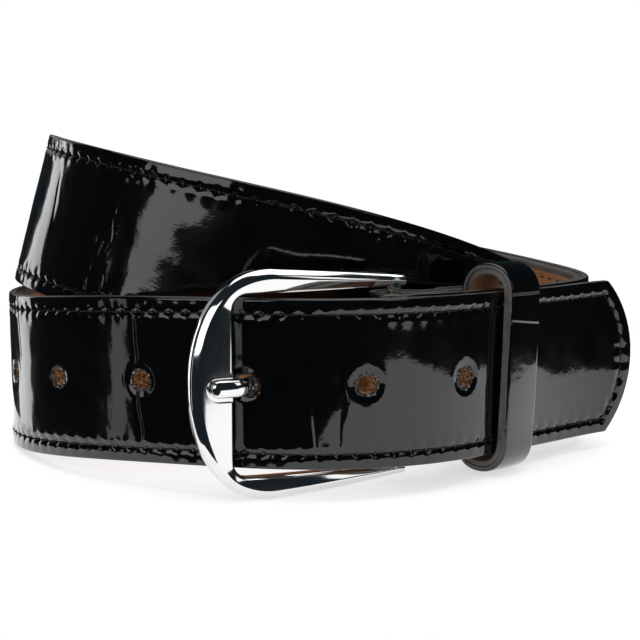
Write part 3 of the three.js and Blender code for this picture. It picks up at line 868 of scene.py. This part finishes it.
class BELT_OT_stitches(bpy.types.Operator):
    """Sew both edges, the tip and the two seams across the fold, with single sunk stitches"""
    bl_idname = "belt.stitches"
    bl_label = "Stitches"

    def execute(self, context):
        look = context.scene.belt_strap
        pitch = look.stitch_pitch / MM
        count = int((ROW_END - ROW_START) / pitch)
        row = ROW_START + pitch * (np.arange(count) + 0.5)
        tip_angle = TIP_ARC_REACH * (2 * (np.arange(TIP_STITCHES) + 0.5) / TIP_STITCHES - 1)
        tip_s = TIP_RADIUS - TIP_ARC * np.cos(tip_angle)
        tip_u = WIDTH / 2 + TIP_ARC * np.sin(tip_angle)
        tip_pitch = 2 * TIP_ARC_REACH * TIP_ARC / TIP_STITCHES
        level = HALF - look.channel_depth / MM + 0.06
        tip_heading = np.arctan2(np.cos(tip_angle), np.sin(tip_angle))
        seams = [
            ("upper_edge_stitches", "upper_edge_thread", row, WIDTH - THREAD_INSET, 0.0, pitch),
            ("lower_edge_stitches", "lower_edge_thread", row, THREAD_INSET, 0.0, pitch),
            ("tip_stitches", "tip_thread", tip_s, tip_u, tip_heading, tip_pitch)]
        fold_pitch = (WIDTH - 2 * THREAD_INSET) / FOLD_STITCHES
        fold_u = THREAD_INSET + fold_pitch * (np.arange(FOLD_STITCHES) + 0.5)
        past_fold = int(RUN_LENGTH) + 6
        for station, end in ((64.0, "near_bar"), (33.0, "near_end")):
            at = behind_tongue([station], turned_depth(np.array([station])))[0, :3]
            away = np.linalg.norm(STRAP["point"][past_fold:] - at, axis=1)
            s = np.full(FOLD_STITCHES, float(past_fold + np.argmin(away)))
            seams.append((f"fold_stitches_{end}", f"fold_thread_{end}", s, fold_u, math.pi / 2,
                          fold_pitch))
        for name, node, s, u, heading, step in seams:
            both = [np.tile(np.broadcast_to(x, s.shape), 2) for x in (s, u, heading)]
            face = np.repeat([1.0, -1.0], len(s))
            lift = level if not name.startswith("fold") else HALF + 0.12
            obj = thread_runs(name, *both, (step - 0.5) / 2, lift, face)
            give(obj, Finishes.get("thread"))
            attach(obj, "strap", "thread", node)
        return {"FINISHED"}


def rings_round(name, middles, angle, radius, height):
    """A closed ring round each hole: holes by angles by section points, radius out from the hole's
    middle and height out of the strap's middle surface."""
    points = on_strap(middles + radius * np.cos(angle), WIDTH / 2 + radius * np.sin(angle), height)
    many, turns, sides = points.shape[:3]
    one = grid_faces(turns, sides, close_rows=True, close_columns=True)
    start = (np.arange(many) * turns * sides)[:, None, None]
    return new_piece(name, points, (one[None] + start).reshape(-1, 4))


class BELT_OT_hole_rims(bpy.types.Operator):
    """Make the torn lacquer rim of every hole and the ragged fibres inside the open ones"""
    bl_idname = "belt.hole_rims"
    bl_label = "Hole rims"

    def execute(self, context):
        look = context.scene.belt_strap
        rng = np.random.default_rng(17)
        turns, sides = 60, 8
        all_holes = HOLES[:, None, None]
        angle = np.linspace(0, 2 * math.pi, turns, endpoint=False)[None, :, None]
        section = np.linspace(0, 2 * math.pi, sides, endpoint=False)[None, None, :]
        rough = np.zeros((3, HOLE_COUNT, turns, 1))
        for k in (3, 5, 8, 13, 19, 27):
            phase = rng.uniform(0, 2 * math.pi, (3, HOLE_COUNT, 1, 1))
            rough = rough + np.cos(k * angle[None] + phase) / 2.2
        thick = 0.4 * (1 + 0.3 * rough[0])
        radius = 2.5 + 0.12 * rough[1] + thick * np.cos(section)
        height = HALF - look.dish_depth / MM - 0.02 + 0.08 * rough[2] + 0.55 * thick * np.sin(section)
        obj = rings_round("torn_hole_rims", all_holes, angle, radius, height)
        give(obj, Finishes.get("torn"))
        attach(obj, "strap", "patent_leather")

        # Fibres of the lining dragged into each hole: a funnel whose wall is ragged with angle.
        profile = np.array([(2.2, 0.9), (1.85, 0.35), (1.6, -0.2), (1.25, -0.8), (0.9, -1.2), (1.1, -1.4),
                            (1.9, -1.0), (2.25, -0.3), (2.36, 0.5), (2.36, 0.9)])[None, None, :, :]
        open_holes = np.delete(all_holes, USED_HOLE, axis=0)
        loose = np.where(profile[0, 0, :, 0] < 2.3, 1, 0.1)
        ragged = 0.14 * np.delete(rough[:2], USED_HOLE, axis=1) * loose
        radius = profile[..., 0] + ragged[0]
        height = profile[..., 1] + 2.2 * ragged[1]
        obj = rings_round("torn_hole_fibres", open_holes, angle, radius, height)
        give(obj, Finishes.get("fibre"))
        attach(obj, "strap", "lining_leather")
        return {"FINISHED"}


# ---- keeper ------------------------------------------------------------------------------------

def keeper_outline(offset):
    """Closed outline round the strap: a rounded rectangle grown by offset, smoothed by a running mean,
    its front swelling forward by a parabola. Gives out and up of each point and the way outwards."""
    front, back = KEEPER["front"] + offset, KEEPER["back"] - offset
    low, high = KEEPER["below"] - offset, KEEPER["above"] + offset
    radius = 4 + offset
    angle = np.linspace(0, math.pi / 2, 15)
    corners = []
    for quarter, (x, y) in enumerate([(front - radius, high - radius), (back + radius, high - radius),
                                      (back + radius, low + radius), (front - radius, low + radius)]):
        turn = angle + quarter * math.pi / 2
        corners.append(np.stack([x + radius * np.cos(turn), y + radius * np.sin(turn)], axis=1))
    outline = np.vstack(corners + [corners[0][:1]])
    flat = np.hstack([outline, np.zeros((len(outline), 1))])
    even = respace(flat, 0.75)[:-1, :2]
    weights = np.array([1, 3, 5, 6, 5, 3, 1]) / 24
    even = sum(w * np.roll(even, k, axis=0) for k, w in zip(range(-3, 4), weights))
    swell = 0.3 * (1 - ((even[:, 1] - WIDTH / 2) / (WIDTH / 2 + 4)) ** 2)
    even[:, 0] += np.where(even[:, 0] > 0, swell, 0) * ease(even[:, 0], 0, 1.5)
    along = unit(np.roll(even, -1, axis=0) - np.roll(even, 1, axis=0))
    return even, np.stack([along[:, 1], -along[:, 0]], axis=1)


def keeper_ply(name, offset, width, roll, crown, unevenness, dyed):
    """Loop of one ply: its section, width wide and one ply deep with rolled outer edges and a low
    crown, is carried round the closed outline. Its unevenness fades out where the loop closes; the
    edge dye runs over the dyed outermost columns of the outer face."""
    outline, outwards = keeper_outline(offset)
    half = width / 2
    columns = 25
    v = half * np.sin(np.linspace(-1, 1, columns) * math.pi / 2)
    d = KEEPER_PLY - rolled_edge(half - np.abs(v), roll) + crown * (1 - (v / half) ** 2)
    back = np.linspace(half, -half, 7)
    section_v = np.concatenate([v, back])
    section_d = np.concatenate([d, 0 * back])
    run = flat_run(outline)[:, None]
    calm = ease(np.minimum(run, run[-1] - run), 0, 8)
    wave = unevenness * calm * ripple(run, section_v[None, :], 33, 10, 14, 40)
    depth = section_d[None, :] + wave * (section_d > 0)[None, :]
    at = at_station(TONGUE, KEEPER_STATION)
    out = outline[:, :1] + depth * outwards[:, :1]
    up = outline[:, 1:] + depth * outwards[:, 1:]
    points = (at["point"] + section_v[None, :, None] * at["along"] + up[..., None] * at["up"]
              + out[..., None] * at["out"])
    faces = grid_faces(len(outline), len(section_v), close_rows=True, close_columns=True)
    kind = np.full((len(outline), len(section_v)), FACE)
    kind[:, [columns - 1, -1]] = EDGE
    kind[:, :dyed] = EDGE
    kind[:, columns - 1 - dyed:columns - 1] = EDGE
    uv = np.stack(np.broadcast_arrays(run, section_v[None, :] + half), axis=-1)
    return new_piece(name, points, faces, uv=uv, material_of_face=kind.ravel(), sharp=50)


class BELT_OT_keeper(bpy.types.Operator):
    """Make the keeper: a patent loop over a lining loop"""
    bl_idname = "belt.keeper"
    bl_label = "Keeper"

    def execute(self, context):
        outer = keeper_ply("patent_keeper_ply", KEEPER_PLY + PLY_GAP, KEEPER_WIDTH, roll=0.45,
                           crown=0.12, unevenness=0.1, dyed=0)
        give(outer, Finishes.get("patent"), Finishes.get("edge"))
        attach(outer, "keeper", "patent_leather", "keeper_patent_ply")
        inner = keeper_ply("lining_keeper_ply", 0.0, KEEPER_WIDTH - 0.2, roll=0.15, crown=0.0,
                           unevenness=0.0, dyed=4)
        give(inner, Finishes.get("lining"), Finishes.get("edge"))
        attach(inner, "keeper", "lining_leather", "keeper_lining_ply")
        return {"FINISHED"}


# ---- buckle ------------------------------------------------------------------------------------

FRAME_REACH = 48.3
ARM_TIP = -2.6
ARM_TIP_HALF = 23.1
INNER_HALF = 20.4
INNER_REACH = 38.7
FRAME_THICK = 4.0
FRAME_BOW = 2.0
CRESCENT = 30.0
INNER_CORNER = 3.5
NOTCH = {"floor": 1.7, "radius": 3.3, "reach": 45.0}
BAR_RADIUS = 1.65
CURL_RADIUS = 2.675


def matched(parts, counts):
    """Paths of several pieces, each respaced to its own count of points, joined end to end."""
    rows = []
    for path, count in zip(parts, counts):
        run = flat_run(path)
        even = np.linspace(0, run[-1], count + 1)[:-1]
        rows.append(np.stack([np.interp(even, run, column) for column in path.T], axis=1))
    return np.vstack(rows + [parts[-1][-1:]])


def frame_edges():
    """Outer and inner edge of the horseshoe frame from one arm's tip to the other, point for point:
    straight arms, then a superellipse of exponent 2.2 outside and a rounded corner inside."""
    def crescent(first, last):
        angle = np.radians(np.linspace(first, last, 60))
        c, s = np.clip(np.cos(angle), 0, 1) ** (2 / 2.2), np.clip(np.sin(angle), 0, 1) ** (2 / 2.2)
        return np.stack([CRESCENT + (FRAME_REACH - CRESCENT) * c, FRAME_HALF_HEIGHT * s], axis=1)

    arm = through(np.array([(ARM_TIP, ARM_TIP_HALF), (10, 24.3), (20, 25.2),
                            (CRESCENT, FRAME_HALF_HEIGHT)]), 12)
    bend = np.radians(np.linspace(90, 0, 24))
    corner = np.stack([INNER_REACH - INNER_CORNER + INNER_CORNER * np.cos(bend),
                       INNER_HALF - INNER_CORNER + INNER_CORNER * np.sin(bend)], axis=1)
    straight = np.array([(ARM_TIP, INNER_HALF), (CRESCENT - 1.5, INNER_HALF)])
    lead = np.array([straight[-1], corner[0]])
    upright = np.array([corner[-1], (INNER_REACH, 0)])
    counts = (26, 22, 14, 40)
    outer = matched([arm, crescent(90, 66), crescent(66, 44), crescent(44, 0)], counts)
    inner = matched([straight, lead, corner, upright], counts)
    return [np.vstack([path, (path * [1, -1])[-2::-1]]) for path in (outer, inner)]


def softened(corners, radius, steps):
    """Closed polygons (..., corners, 2) with every corner replaced by a short parabola whose ends lie
    that corner's radius from it along its two sides."""
    radius = np.asarray(radius)[:, None]
    before = unit(np.roll(corners, 1, axis=-2) - corners)
    after = unit(np.roll(corners, -1, axis=-2) - corners)
    t = np.linspace(0, 1, steps)[:, None]
    start, end = corners + radius * before, corners + radius * after
    curve = ((1 - t) ** 2 * start[..., None, :] + 2 * t * (1 - t) * corners[..., None, :]
             + t * t * end[..., None, :])
    return curve.reshape(*corners.shape[:-2], -1, 2)


def bow(a):
    """Forward bow of the frame: 4 B f (1 - f) over its reach."""
    f = np.clip(a / FRAME_REACH, 0, 1)
    return 4 * FRAME_BOW * f * (1 - f)


class BELT_OT_frame(bpy.types.Operator):
    """Make the horseshoe frame: bevelled, ridged, bowed forward and notched for the prong"""
    bl_idname = "belt.frame"
    bl_label = "Buckle frame"

    def execute(self, context):
        look = context.scene.belt_buckle
        outer, inner = frame_edges()
        wide = np.linalg.norm(outer - inner, axis=1)
        back, front = -FRAME_THICK / 2, FRAME_THICK / 2
        bevel = np.minimum(look.outer_bevel / MM, 0.42 * wide)
        ridge = look.crown / MM
        inside = np.minimum(0.6, 0.15 * wide)
        zero = 0 * wide
        corners = np.stack([
            np.stack([zero + 0.5, zero + back], axis=1),
            np.stack([zero, zero + back + 0.5], axis=1),
            np.stack([zero, zero + front - 0.9 - ridge], axis=1),
            np.stack([inside, zero + front - 0.15 - ridge], axis=1),
            np.stack([wide - bevel, zero + front], axis=1),
            np.stack([wide - 0.18, zero + front - 1.35], axis=1),
            np.stack([wide, zero + back + 0.5], axis=1),
            np.stack([wide - 0.5, zero + back], axis=1)], axis=1)
        section = softened(corners, [0.3, 0.3, 0.4, 0.3, 0.75, 0.5, 0.3, 0.3], 6)
        share = section[..., 0] / wide[:, None]
        flat = inner[:, None, :] + share[..., None] * (outer - inner)[:, None, :]
        a, z, h = flat[..., 0], flat[..., 1], section[..., 1]
        h = h + bow(a)
        # Each arm's tip is rounded by rings that shrink towards it.
        tip_rings = ((0.72, 0.0), (0.93, 0.12), (1.0, 0.45))
        ends = []
        for end in (0, -1):
            mid = [x[end].mean() for x in (a, z, h)]
            ring = [np.stack([ARM_TIP + shift + 0 * a[end], mid[1] + shrink * (z[end] - mid[1]),
                              mid[2] + shrink * (h[end] - mid[2])]) for shrink, shift in tip_rings]
            ends.append(ring if end == 0 else ring[::-1])
        body = np.stack([a, z, h], axis=1)[2:-2]
        rings = np.concatenate([np.stack(ends[0]), body, np.stack(ends[1])])
        obj = tube(on_buckle(rings[:, 0], rings[:, 1], rings[:, 2]), "buckle_frame_plated")
        angle = np.linspace(-math.pi / 2, math.pi / 2, 25)
        reach = NOTCH["reach"] - NOTCH["radius"]
        mouth = [INNER_REACH - 2]
        notch_a = np.concatenate([mouth, reach + NOTCH["radius"] * np.cos(angle), mouth])
        notch_z = NOTCH["radius"] * np.concatenate([[-1], np.sin(angle), [1]])
        levels = np.array([NOTCH["floor"], FRAME_THICK + 2])[:, None]
        tool = tube(on_buckle(notch_a[None, :], notch_z[None, :], levels), "cut_notch")
        give(obj, Finishes.get("plate"))
        cut_away(obj, [tool])
        edges = obj.modifiers.new("worn edges", "BEVEL")
        edges.width = 0.00022
        edges.segments = 2
        edges.limit_method = "ANGLE"
        edges.angle_limit = math.radians(55)
        obj.data.set_sharp_from_angle(angle=math.radians(45))
        attach(obj, "buckle", "chrome", "buckle_frame")
        return {"FINISHED"}


class BELT_OT_bar(bpy.types.Operator):
    """Make the bar that the fold and the prong turn on: a rod with domed ends"""
    bl_idname = "belt.bar"
    bl_label = "Buckle bar"

    def execute(self, context):
        half = ARM_TIP_HALF - 0.9
        dome = np.radians(np.linspace(0, 78, 7))
        closing = BAR_RADIUS * np.cos(dome)
        radius = np.concatenate([closing[::-1], [BAR_RADIUS] * 20, closing])
        rise = half - 0.5 * (1 - np.sin(dome))
        z = np.concatenate([-rise[::-1], np.linspace(-half + 0.6, half - 0.6, 20), rise])
        angle = np.linspace(0, 2 * math.pi, 40, endpoint=False)[None, :]
        rod = on_buckle(radius[:, None] * np.cos(angle), z[:, None], radius[:, None] * np.sin(angle))
        obj = tube(rod, "buckle_bar_plated", sharp=40)
        give(obj, Finishes.get("plate"))
        attach(obj, "buckle", "chrome", "buckle_bar")
        return {"FINISHED"}


class BELT_OT_prong(bpy.types.Operator):
    """Make the prong: a rounded strip curled round the bar, bent through its hole to the notch"""
    bl_idname = "belt.prong"
    bl_label = "Prong"

    def execute(self, context):
        curl = np.radians(np.linspace(-22, -262, 36))
        start = CURL_RADIUS * np.stack([np.cos(curl), np.sin(curl)], axis=1)
        path = np.vstack([start, through(PRONG_PATH, 10)[3:]])
        run = flat_run(path)
        curled = run < run[len(start)]
        length = run[-1]
        dome = np.sqrt(np.clip(1 - (1 - np.clip((length - run) / 2.0, 0, 1)) ** 2, 0.02, 1))
        taper = 1 - 0.05 * ease(run, length - 16, length)
        first = np.sqrt(np.clip(1 - (1 - np.clip(run / 0.5, 0, 1)) ** 2, 0.1, 1))
        high = PRONG_HEIGHT / 2 * taper * dome * first
        thick = np.where(curled, 0.9, 0.9 + 0.3 * ease(run, run[len(start)], run[len(start)] + 7))
        thick = thick * dome * first
        a, z, h = prong_section(path[:, 0], path[:, 1], high, thick, 28)
        obj = tube(on_buckle(a, z, h), "prong_plated", sharp=60)
        give(obj, Finishes.get("plate"))
        attach(obj, "prong", "chrome", "buckle_prong")
        return {"FINISHED"}


# ---- stage -------------------------------------------------------------------------------------

def soft_light(name, place, aim, width, height, power):
    """Rectangular studio lamp that faces a point."""
    data = bpy.data.lights.new(name, "AREA")
    data.shape = "RECTANGLE"
    data.size, data.size_y = width, height
    data.energy = power
    lamp = bpy.data.objects.new(name, data)
    lamp.location = place
    lamp.rotation_euler = (Vector(aim) - Vector(place)).to_track_quat("-Z", "Y").to_euler()
    bpy.context.scene.collection.objects.link(lamp)


class BELT_OT_stage(bpy.types.Operator):
    """Set the camera, the pale floor, the surroundings and the soft lamps"""
    bl_idname = "belt.stage"
    bl_label = "Stage"

    def execute(self, context):
        scene = context.scene
        look = scene.belt_stage
        data = bpy.data.cameras.new("camera")
        data.lens = look.lens
        data.sensor_width = 36
        camera = bpy.data.objects.new("camera", data)
        camera.location = (0.000455, -0.44734, 0.104)
        camera.rotation_euler = Euler((math.radians(81), 0, 0))
        scene.collection.objects.link(camera)
        scene.camera = camera
        scene.view_settings.view_transform = "Standard"

        corner = np.array([(-0.1, -0.02), (-0.08, -0.05), (-0.02, -0.072), (0.0, -0.1), (0.03, -0.155),
                           (0.18, -0.155), (0.18, 0.15), (-0.1, 0.15)])
        mesh = bpy.data.meshes.new("floor")
        mesh.from_pydata([(x, y, 0.0) for x, y in corner.tolist()], [], [tuple(range(len(corner)))])
        floor = bpy.data.objects.new("floor", mesh)
        scene.collection.objects.link(floor)
        paint = Shader("floor_paint")
        paint.surface.inputs["Roughness"].default_value = 0.7
        paint.surface.inputs["Base Color"].default_value = (*look.floor, 1)
        paint.surface.inputs["Emission Color"].default_value = (1, 1, 1, 1)
        paint.surface.inputs["Emission Strength"].default_value = 0.62
        paint.relief(paint.bump(paint.noise(400, 3), "Fac", 0.05, 0.0002))
        floor.data.materials.append(paint.material)

        world = bpy.data.worlds.new("surroundings")
        scene.world = world
        world.use_nodes = True
        tree = world.node_tree
        air = tree.nodes["Background"]
        bright = tree.nodes.new("ShaderNodeBackground")
        bright.inputs["Color"].default_value = (1, 1, 1, 1)
        bright.inputs["Strength"].default_value = 1.0
        air.inputs["Color"].default_value = (0.55, 0.82, 1, 1)
        air.inputs["Strength"].default_value = 0.02
        path = tree.nodes.new("ShaderNodeLightPath")
        mix = tree.nodes.new("ShaderNodeMixShader")
        tree.links.new(path.outputs["Is Glossy Ray"], mix.inputs[0])
        tree.links.new(bright.outputs[0], mix.inputs[1])
        tree.links.new(air.outputs[0], mix.inputs[2])
        tree.links.new(mix.outputs[0], tree.nodes["World Output"].inputs["Surface"])

        soft_light("overhead", (0.0, 0.05, 0.75), (0, 0, 0), 0.9, 0.7, 4)
        soft_light("left_front", (-0.545, -0.595, 0.24), (0, 0, 0.03), 0.58, 0.42, 1.35)
        soft_light("far_left", (-0.75, -0.23, -0.06), (0, 0, 0.0), 0.07, 0.3, 0.06)
        soft_light("low_left", (-0.46, 0.34, 0.0), (-0.07, 0, 0.02), 0.14, 0.28, 0.22)
        soft_light("back_left", (-0.45, 0.55, 0.3), (0, 0, 0.04), 0.5, 0.4, 0.22)
        soft_light("right_front", (0.55, -0.45, 0.35), (0, 0, 0.03), 0.2, 0.4, 0.3)
        return {"FINISHED"}


class BELT_PT_panel(bpy.types.Panel):
    """Sizes, colours and makers of the belt"""
    bl_idname = "BELT_PT_panel"
    bl_label = "Patent Leather Belt"
    bl_space_type = "VIEW_3D"
    bl_region_type = "UI"
    bl_category = "Belt"

    def draw(self, context):
        for name in ("belt_strap", "belt_buckle", "belt_stage"):
            box = self.layout.box()
            group = getattr(context.scene, name)
            for key in group.__annotations__:
                box.prop(group, key)
        for maker in MAKERS:
            self.layout.operator(maker.bl_idname)


MAKERS = (BELT_OT_stage, BELT_OT_patent_ply, BELT_OT_lining_ply, BELT_OT_stitches, BELT_OT_hole_rims,
          BELT_OT_keeper, BELT_OT_frame, BELT_OT_bar, BELT_OT_prong)
CLASSES = (StrapLook, BuckleLook, StageLook, *MAKERS, BELT_PT_panel)


def register():
    for cls in CLASSES:
        bpy.utils.register_class(cls)
    bpy.types.Scene.belt_strap = bpy.props.PointerProperty(type=StrapLook)
    bpy.types.Scene.belt_buckle = bpy.props.PointerProperty(type=BuckleLook)
    bpy.types.Scene.belt_stage = bpy.props.PointerProperty(type=StageLook)


def unregister():
    del bpy.types.Scene.belt_strap, bpy.types.Scene.belt_buckle, bpy.types.Scene.belt_stage
    for cls in reversed(CLASSES):
        bpy.utils.unregister_class(cls)


def main():
    register()
    bpy.ops.belt.stage()
    bpy.ops.belt.patent_ply()
    bpy.ops.belt.lining_ply()
    bpy.ops.belt.stitches()
    bpy.ops.belt.hole_rims()
    bpy.ops.belt.keeper()
    bpy.ops.belt.frame()
    bpy.ops.belt.bar()
    bpy.ops.belt.prong()


if __name__ == "__main__":
    main()
